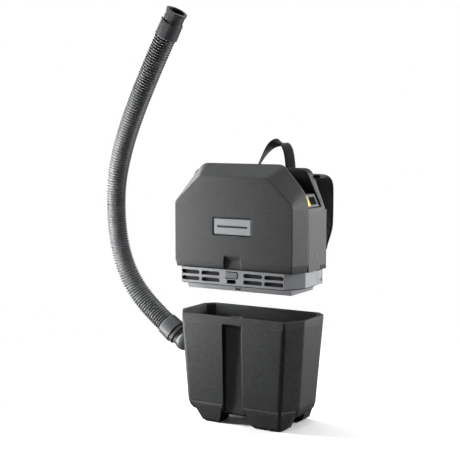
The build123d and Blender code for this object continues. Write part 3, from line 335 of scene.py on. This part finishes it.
PAINT = {
    FOAM: ["container_shell", "container_feet", "front_cover"],
    SHELL_FOAM: ["main_shell"],
    BASE_GREY: ["base_frame", "side_clips"],
    BLACK: ["switch_frame", "switch_rocker", "fan_housing", "motor_bracket", "terminal_block",
            "adjuster_left", "adjuster_right"],
    PORT_GREY: ["hose_cuff", "inlet_port", "hose_end_connector"],
    DEEP_BLACK: ["battery_bay", "intake_grille", "back_plate"],
    GREY: ["bag_adapter", "side_plugs"],
    BADGE: ["badge_plate"],
    DULL_SILVER: ["latch_lever"],
    STEEL: ["latch_keeper", "latch_pin", "latch_spring", "motor_bearings", "motor_stator", "button_spring",
            "plate_screws"],
    MOTOR_METAL: ["motor_can", "impeller", "board_parts"],
    RUBBER: ["base_seal", "motor_mounts"],
    FILTER: ["motor_filter", "exhaust_foam"],
    BATTERY: ["battery_case"],
    YELLOW: ["battery_button"],
    WINDOW: ["battery_display"],
    BOARD: ["control_board"],
}


def paint(obj, mat):
    obj.data.materials.clear()
    obj.data.materials.append(mat)


for material, names in PAINT.items():
    for node_name in names:
        paint(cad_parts[node_name], material)


# ---- mesh helpers
def new_object(name, bm, mat, body, smooth=True):
    bmesh.ops.recalc_face_normals(bm, faces=bm.faces)
    mesh = bpy.data.meshes.new(name)
    bm.to_mesh(mesh)
    bm.free()
    if smooth:
        for polygon in mesh.polygons:
            polygon.use_smooth = True
    mesh.materials.append(mat)
    obj = link(bpy.data.objects.new(name, mesh))
    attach(obj, body)
    return obj


def modifier(obj, kind, name, **settings):
    mod = obj.modifiers.new(name, kind)
    for key, value in settings.items():
        setattr(mod, key, value)
    return mod


def subdivide(obj, levels):
    modifier(obj, "SUBSURF", "subdivision", levels=levels, render_levels=levels)


# ---- hose
HOSE_BORE_R = 19.2 * MM
RIB_PITCH = 6.15 * MM
RIB_STEPS = 9
RIB_VALLEY_R = 20.2 * MM
RIB_HEIGHT = 3.8 * MM
PLAIN_END_R = 23.4 * MM
PLAIN_START = 12 * MM
PLAIN_TIP = 20 * MM
PORT = Vector((-0.172, -0.032, 0.159))
PORT_DIR = Vector((-cos(radians(35.5)), 0, sin(radians(35.5))))
HOSE_EXIT = PORT + PORT_DIR * 0.049
ROUTE = [HOSE_EXIT, HOSE_EXIT + PORT_DIR * 0.070] + [Vector(p) for p in [
    (-0.3180, -0.0387, 0.2890), (-0.3450, -0.0453, 0.3620), (-0.3510, -0.0523, 0.4405),
    (-0.3440, -0.0593, 0.5190), (-0.3205, -0.0660, 0.5940), (-0.2875, -0.0724, 0.6655),
    (-0.2495, -0.0786, 0.7345), (-0.2095, -0.0847, 0.8020), (-0.1680, -0.0906, 0.8690),
]]


def spline_points(route, resolution):
    """Points read from the route's smooth spline."""
    curve = bpy.data.curves.new("route", "CURVE")
    curve.dimensions = "3D"
    spline = curve.splines.new("NURBS")
    spline.points.add(len(route) - 1)
    for point, place in zip(spline.points, route):
        point.co = (*place, 1)
    spline.order_u = 3
    spline.use_endpoint_u = True
    spline.resolution_u = resolution
    holder = bpy.data.objects.new("route", curve)
    mesh = bpy.data.meshes.new_from_object(holder)
    points = [v.co.copy() for v in mesh.vertices]
    bpy.data.objects.remove(holder)
    bpy.data.meshes.remove(mesh)
    return points


def evenly(points, step):
    """Points at equal steps along a line, with the direction at each."""
    lengths = [0.0]
    for a, b in zip(points, points[1:]):
        lengths.append(lengths[-1] + (b - a).length)
    count = int(lengths[-1] / step)
    places, index = [], 0
    for i in range(count + 1):
        target = lengths[-1] * i / count
        while index < len(lengths) - 2 and lengths[index + 1] < target:
            index += 1
        share = (target - lengths[index]) / (lengths[index + 1] - lengths[index])
        places.append(points[index].lerp(points[index + 1], share))
    ways = []
    for i in range(len(places)):
        ways.append((places[min(i + 1, count)] - places[max(i - 1, 0)]).normalized())
    return places, ways


def tube_along(name, points, radius_at, bore, sides, step, mat, body):
    """Tube with a plain bore and closed ends, whose outer radius depends on the distance along it."""
    places, ways = evenly(points, step)
    total = sum((b - a).length for a, b in zip(places, places[1:]))
    bm = bmesh.new()
    side = Vector((0, 1, 0))
    outer, inner = [], []
    for i, (place, way) in enumerate(zip(places, ways)):
        side = (side - way * side.dot(way)).normalized()
        other = way.cross(side)
        turns = [side * cos(2 * pi * k / sides) + other * sin(2 * pi * k / sides) for k in range(sides)]
        radius = radius_at(total * i / (len(places) - 1), total)
        outer.append([bm.verts.new(place + turn * radius) for turn in turns])
        if i % RIB_STEPS == 0 or i == len(places) - 1:
            inner.append([bm.verts.new(place + turn * bore) for turn in turns])
    for rings in (outer, inner, [outer[0], inner[0]], [outer[-1], inner[-1]]):
        for low, high in zip(rings, rings[1:]):
            for k in range(sides):
                bm.faces.new((low[k], low[(k + 1) % sides], high[(k + 1) % sides], high[k]))
    return new_object(name, bm, mat, body), total


def rib_radius(distance, total):
    """Annular ribs with round crests and flat valleys, and a plain stretch in each end piece."""
    if distance < PLAIN_START or distance > total - PLAIN_TIP:
        return PLAIN_END_R
    phase = (distance / RIB_PITCH) % 1.0
    crest = max(0.0, 0.42 + 0.62 * cos(2 * pi * phase))
    return RIB_VALLEY_R + RIB_HEIGHT * min(crest, 1.0) ** 0.7


hose_line = spline_points(ROUTE, 24)
hose, hose_length = tube_along("hose_ribbed", hose_line, rib_radius, HOSE_BORE_R, 40,
                               RIB_PITCH / RIB_STEPS, HOSE, "container")
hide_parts("hose")


# ---- straps and webbing
def band(name, places, across, width, thickness, mat, body, shape=None, columns=12, twin=None):
    """Flat band along places, its sizes given as functions of the share of the length.

    shape moves points out of the band's plane; twin is a second material for the outer face and edges."""
    last = len(places) - 1
    ways = [(places[min(i + 1, last)] - places[max(i - 1, 0)]).normalized() for i in range(last + 1)]
    total = sum((b - a).length for a, b in zip(places, places[1:]))
    bm = bmesh.new()
    uv = bm.loops.layers.uv.new("cloth")
    made = {}
    for i, (place, way) in enumerate(zip(places, ways)):
        share = i / last
        side = Vector(across(share))
        side = (side - way * side.dot(way)).normalized()
        out = side.cross(way)
        half = width(share) / 2
        for k in range(columns + 1):
            u = -1 + 2 * k / columns
            thick = thickness(share) / 2 * (1 - abs(u) ** 6 * 0.6)
            for face in (-1, 1):
                lift = thick * face + (shape(share, u, face) if shape else 0)
                vert = bm.verts.new(place + side * half * u + out * lift)
                made[i, k, face] = (vert, (u * half / MM, total * share / MM))

    def quad(keys, second):
        face = bm.faces.new([made[key][0] for key in keys])
        face.material_index = 1 if second else 0
        for loop, key in zip(face.loops, keys):
            loop[uv].uv = made[key][1]

    for i in range(last):
        for k in range(columns):
            for face in (-1, 1):
                quad([(i, k, face), (i + 1, k, face), (i + 1, k + 1, face), (i, k + 1, face)],
                     twin and (face > 0 or k in (0, columns - 1)))
        for k in (0, columns):
            quad([(i, k, -1), (i + 1, k, -1), (i + 1, k, 1), (i, k, 1)], twin)
    for i in (0, last):
        for k in range(columns):
            quad([(i, k, -1), (i, k + 1, -1), (i, k + 1, 1), (i, k, 1)], twin)
    obj = new_object(name, bm, mat, body)
    if twin:
        obj.data.materials.append(twin)
    return obj


def smooth_path(points, step):
    return evenly(spline_points([Vector(p) for p in points], 16), step)[0]


def steady(value):
    return lambda share: value


def eased(x):
    x = min(max(x, 0.0), 1.0)
    return x * x * (3 - 2 * x)


def loop_across(share):
    """The carry loop twists: edge on at its left foot, tipped over at the top, face on down its right leg."""
    left, top, right = Vector((-0.32, 0.95, 0.0)), Vector((-0.35, 0.62, -0.70)), Vector((0.60, 0.80, 0.0))
    if share < 0.45:
        return left.lerp(top, eased(share / 0.45))
    return top.lerp(right, eased((share - 0.50) / 0.14))


LOOP = [(-0.0445, 0.072, 0.5455), (-0.036, 0.072, 0.562), (-0.014, 0.072, 0.596), (0.004, 0.072, 0.612),
        (0.022, 0.072, 0.6145), (0.034, 0.072, 0.607), (0.0405, 0.072, 0.594), (0.0445, 0.072, 0.572),
        (0.0465, 0.072, 0.5455)]
carry_loop = band("carry_loop", smooth_path(LOOP, 2.0 * MM), loop_across, steady(25 * MM), steady(2.2 * MM),
                  WEBBING, "head")
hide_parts("carry_handle")

STRAP_X = 0.103
STRAP_LINE = [(0.0605, 0.5402), (0.074, 0.5412), (0.090, 0.5400), (0.1035, 0.531), (0.1080, 0.514),
              (0.1082, 0.490), (0.1080, 0.460), (0.1070, 0.432), (0.1020, 0.405), (0.0955, 0.384),
              (0.0925, 0.3765)]


def strap_width(share):
    return (46 + 18 * eased(share * 3.2) - 16 * eased((share - 0.72) / 0.28)) * MM


def strap_folds(share, u, face):
    """Zigzag folds on the inner face where the strap turns over the plate, and shallow quilting below."""
    if face > 0:
        return 0.0
    zig = abs(((u * 1.2 + 8) % 1.0) - 0.5)
    amount = eased((share - 0.08) / 0.08) * (1 - eased((share - 0.48) / 0.12))
    inner = max(0.0, 1 - abs(u) ** 4)
    fold = 1.3 * sin(2 * pi * (share * 26 + zig * 1.5)) * amount * inner
    return (fold - 0.5 * (1 - u * u) * (1 - amount)) * MM


for side, label in ((-1, "left"), (1, "right")):
    line = smooth_path([(side * STRAP_X, y, z) for y, z in STRAP_LINE], 1.6 * MM)
    strap = band("strap_" + label, line, steady((1, 0, 0)), strap_width, steady(8 * MM), MESH, "head",
                 strap_folds, 20, BINDING)
    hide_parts("shoulder_strap_" + label)
    web_line = smooth_path([(side * 0.101, 0.088, 0.358), (side * 0.101, 0.079, 0.3545),
                            (side * 0.101, 0.066, 0.3495), (side * 0.101, 0.0605, 0.3495)], 1.5 * MM)
    web = band("web_" + label, web_line, steady((1, 0, 0)), steady(25 * MM), steady(2.5 * MM), WEBBING,
               "head")
    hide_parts("lower_webbing_" + label)


# ---- handle anchor: a folded webbing strip sewn down under the loop
anchor_line = [Vector((x * MM, 0.0717, 0.5375)) for x in range(-55, 56, 2)]
anchor = band("anchor_strip", anchor_line, steady((0, 1, 0)), steady(26 * MM), steady(11 * MM), WEBBING,
              "head")
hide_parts("handle_anchor")


# ---- cushions: back pads and the filter bag
def apply_all(obj):
    graph = bpy.context.evaluated_depsgraph_get()
    mesh = bpy.data.meshes.new_from_object(obj.evaluated_get(graph))
    obj.modifiers.clear()
    obj.data = mesh
    for polygon in mesh.polygons:
        polygon.use_smooth = True


def cushion(name, low, high, limits, mat, body, node, cap):
    """Cloth shell blown up from a box smaller than the finished piece, no point moving further than cap
    or past limits, which are the lowest and highest corners."""
    low, high = Vector(low), Vector(high)
    bm = bmesh.new()
    bmesh.ops.create_cube(bm, size=1.0)
    for vert in bm.verts:
        vert.co = Vector([(a + b) / 2 + c * (b - a) for a, b, c in zip(low, high, vert.co)])
    bmesh.ops.bevel(bm, geom=bm.edges[:], offset=4 * MM, segments=3, profile=0.5, affect="EDGES")
    obj = new_object(name, bm, mat, body)
    modifier(obj, "REMESH", "even", mode="VOXEL", voxel_size=4 * MM, adaptivity=0.0)
    apply_all(obj)
    before = [v.co.copy() for v in obj.data.vertices]
    cloth = modifier(obj, "CLOTH", "filling")
    cloth.settings.use_pressure = True
    cloth.settings.uniform_pressure_force = 4
    cloth.settings.effector_weights.gravity = 0
    cloth.point_cache.frame_start = 1
    cloth.point_cache.frame_end = 20
    for frame_number in range(1, 21):
        bpy.context.scene.frame_set(frame_number)
    apply_all(obj)
    bpy.context.scene.frame_set(1)
    for vert, start in zip(obj.data.vertices, before):
        move = vert.co - start
        if move.length > cap:
            move *= cap / move.length
        place = start + move
        vert.co = [min(max(c, a), b) for c, a, b in zip(place, *limits)]
    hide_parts(node)
    return obj


def press_channels(obj, lines, depth, half):
    """Sewn channels pressed into the rear face, each given as a height."""
    rear = max(v.co.y for v in obj.data.vertices)
    for vert in obj.data.vertices:
        for z in lines:
            near = 1 - min(abs(vert.co.z - z) / half, 1.0)
            if vert.co.y > rear - 9 * MM:
                vert.co.y -= depth * near * near


upper_pad = cushion("pad_upper", (-0.061, 0.0600, 0.447), (0.061, 0.0715, 0.519),
                    ((-0.066, 0.0583, 0.442), (0.066, 0.0755, 0.524)), PAD_MESH, "head",
                    "back_pad_upper", 5 * MM)
press_channels(upper_pad, (0.470, 0.497), 2.5 * MM, 4 * MM)
subdivide(upper_pad, 1)
lower_pad = cushion("pad_lower", (-0.061, 0.0600, 0.355), (0.061, 0.0715, 0.429),
                    ((-0.066, 0.0583, 0.350), (0.066, 0.0755, 0.434)), PAD_MESH, "head",
                    "back_pad_lower", 5 * MM)
press_channels(lower_pad, (0.379, 0.405), 2.5 * MM, 4 * MM)
subdivide(lower_pad, 1)


def bag_collar(obj):
    """Stiff collar at the bag's mouth, added to the bag's own mesh."""
    bm = bmesh.new()
    bm.from_mesh(obj.data)
    turn = Matrix.Translation((-0.113, -0.032, 0.159)) @ Matrix.Rotation(pi / 2, 4, "Y")
    bmesh.ops.create_cone(bm, cap_ends=True, segments=48, radius1=0.020, radius2=0.020, depth=0.026,
                          matrix=turn)
    bmesh.ops.recalc_face_normals(bm, faces=bm.faces)
    bm.to_mesh(obj.data)
    bm.free()


bag = cushion("fleece_bag", (-0.106, -0.074, 0.046), (0.108, 0.008, 0.197),
              ((-0.1195, -0.0820, 0.037), (0.1195, 0.0150, 0.204)), FLEECE, "container",
              "filter_bag", 9 * MM)
bag_collar(bag)
subdivide(bag, 1)


# ---- floor and lighting
def seen_directly(mat):
    return add(mat, "LightPath").outputs["Is Camera Ray"]


def floor_piece():
    """Pale floor, which melts into the white background a little way from the object."""
    bm = bmesh.new()
    bmesh.ops.create_grid(bm, x_segments=2, y_segments=2, size=30.0)
    mesh = bpy.data.meshes.new("floor")
    bm.to_mesh(mesh)
    bm.free()
    mat, bsdf = surface("floor")
    tone = add(mat, "MixRGB", {"Fac": seen_directly(mat), "Color1": linear("505050"),
                               "Color2": linear("f4f4f4")})
    connect(mat, bsdf, Base_Color=tone.outputs["Color"], Roughness=0.9)
    place = add(mat, "TexCoord").outputs["Object"]
    reach = add(mat, "VectorMath", {0: place}, operation="LENGTH").outputs["Value"]
    far = add(mat, "MapRange", {"Value": reach, "From Min": 0.35, "From Max": 1.1}).outputs["Result"]
    white = add(mat, "Emission", {"Color": (1, 1, 1, 1), "Strength": 1.0}).outputs[0]
    share = math_node(mat, "MULTIPLY", far, seen_directly(mat))
    mixed = add(mat, "MixShader", {0: share, 1: bsdf.outputs[0], 2: white}).outputs[0]
    mat.node_tree.links.new(mixed, mat.node_tree.nodes["Material Output"].inputs["Surface"])
    mesh.materials.append(mat)
    link(bpy.data.objects.new("floor", mesh))


def world_light(strength):
    world = bpy.data.worlds.new("studio")
    world.use_nodes = True
    white = add(world, "Background", {"Color": (1, 1, 1, 1), "Strength": 1.0}).outputs[0]
    back = world.node_tree.nodes["Background"]
    back.inputs["Color"].default_value = (1, 1, 1, 1)
    back.inputs["Strength"].default_value = strength
    mixed = add(world, "MixShader", {0: seen_directly(world), 1: back.outputs[0], 2: white}).outputs[0]
    world.node_tree.links.new(mixed, world.node_tree.nodes["World Output"].inputs["Surface"])
    bpy.context.scene.world = world


floor_piece()
world_light(0.08)
area_light("key_left", (-0.50, -0.25, 0.40), (0.0, -0.11, 0.36), (0.12, 0.9), 12)
area_light("side_right", (1.3, 1.1, 0.7), (0.12, 0, 0.35), (0.8, 1.4), 52)
area_light("front_low", (-0.2, -1.8, 0.25), (0.0, 0, 0.3), (0.5, 0.5), 5)
area_light("top_soft", (0.0, 0.3, 2.2), (0, 0, 0.3), (1.6, 1.6), 30)
area_light("hose_left", (-1.4, 0.5, 0.6), (-0.3, 0, 0.5), (0.5, 1.6), 26)
bpy.context.scene.view_settings.view_transform = "Standard"
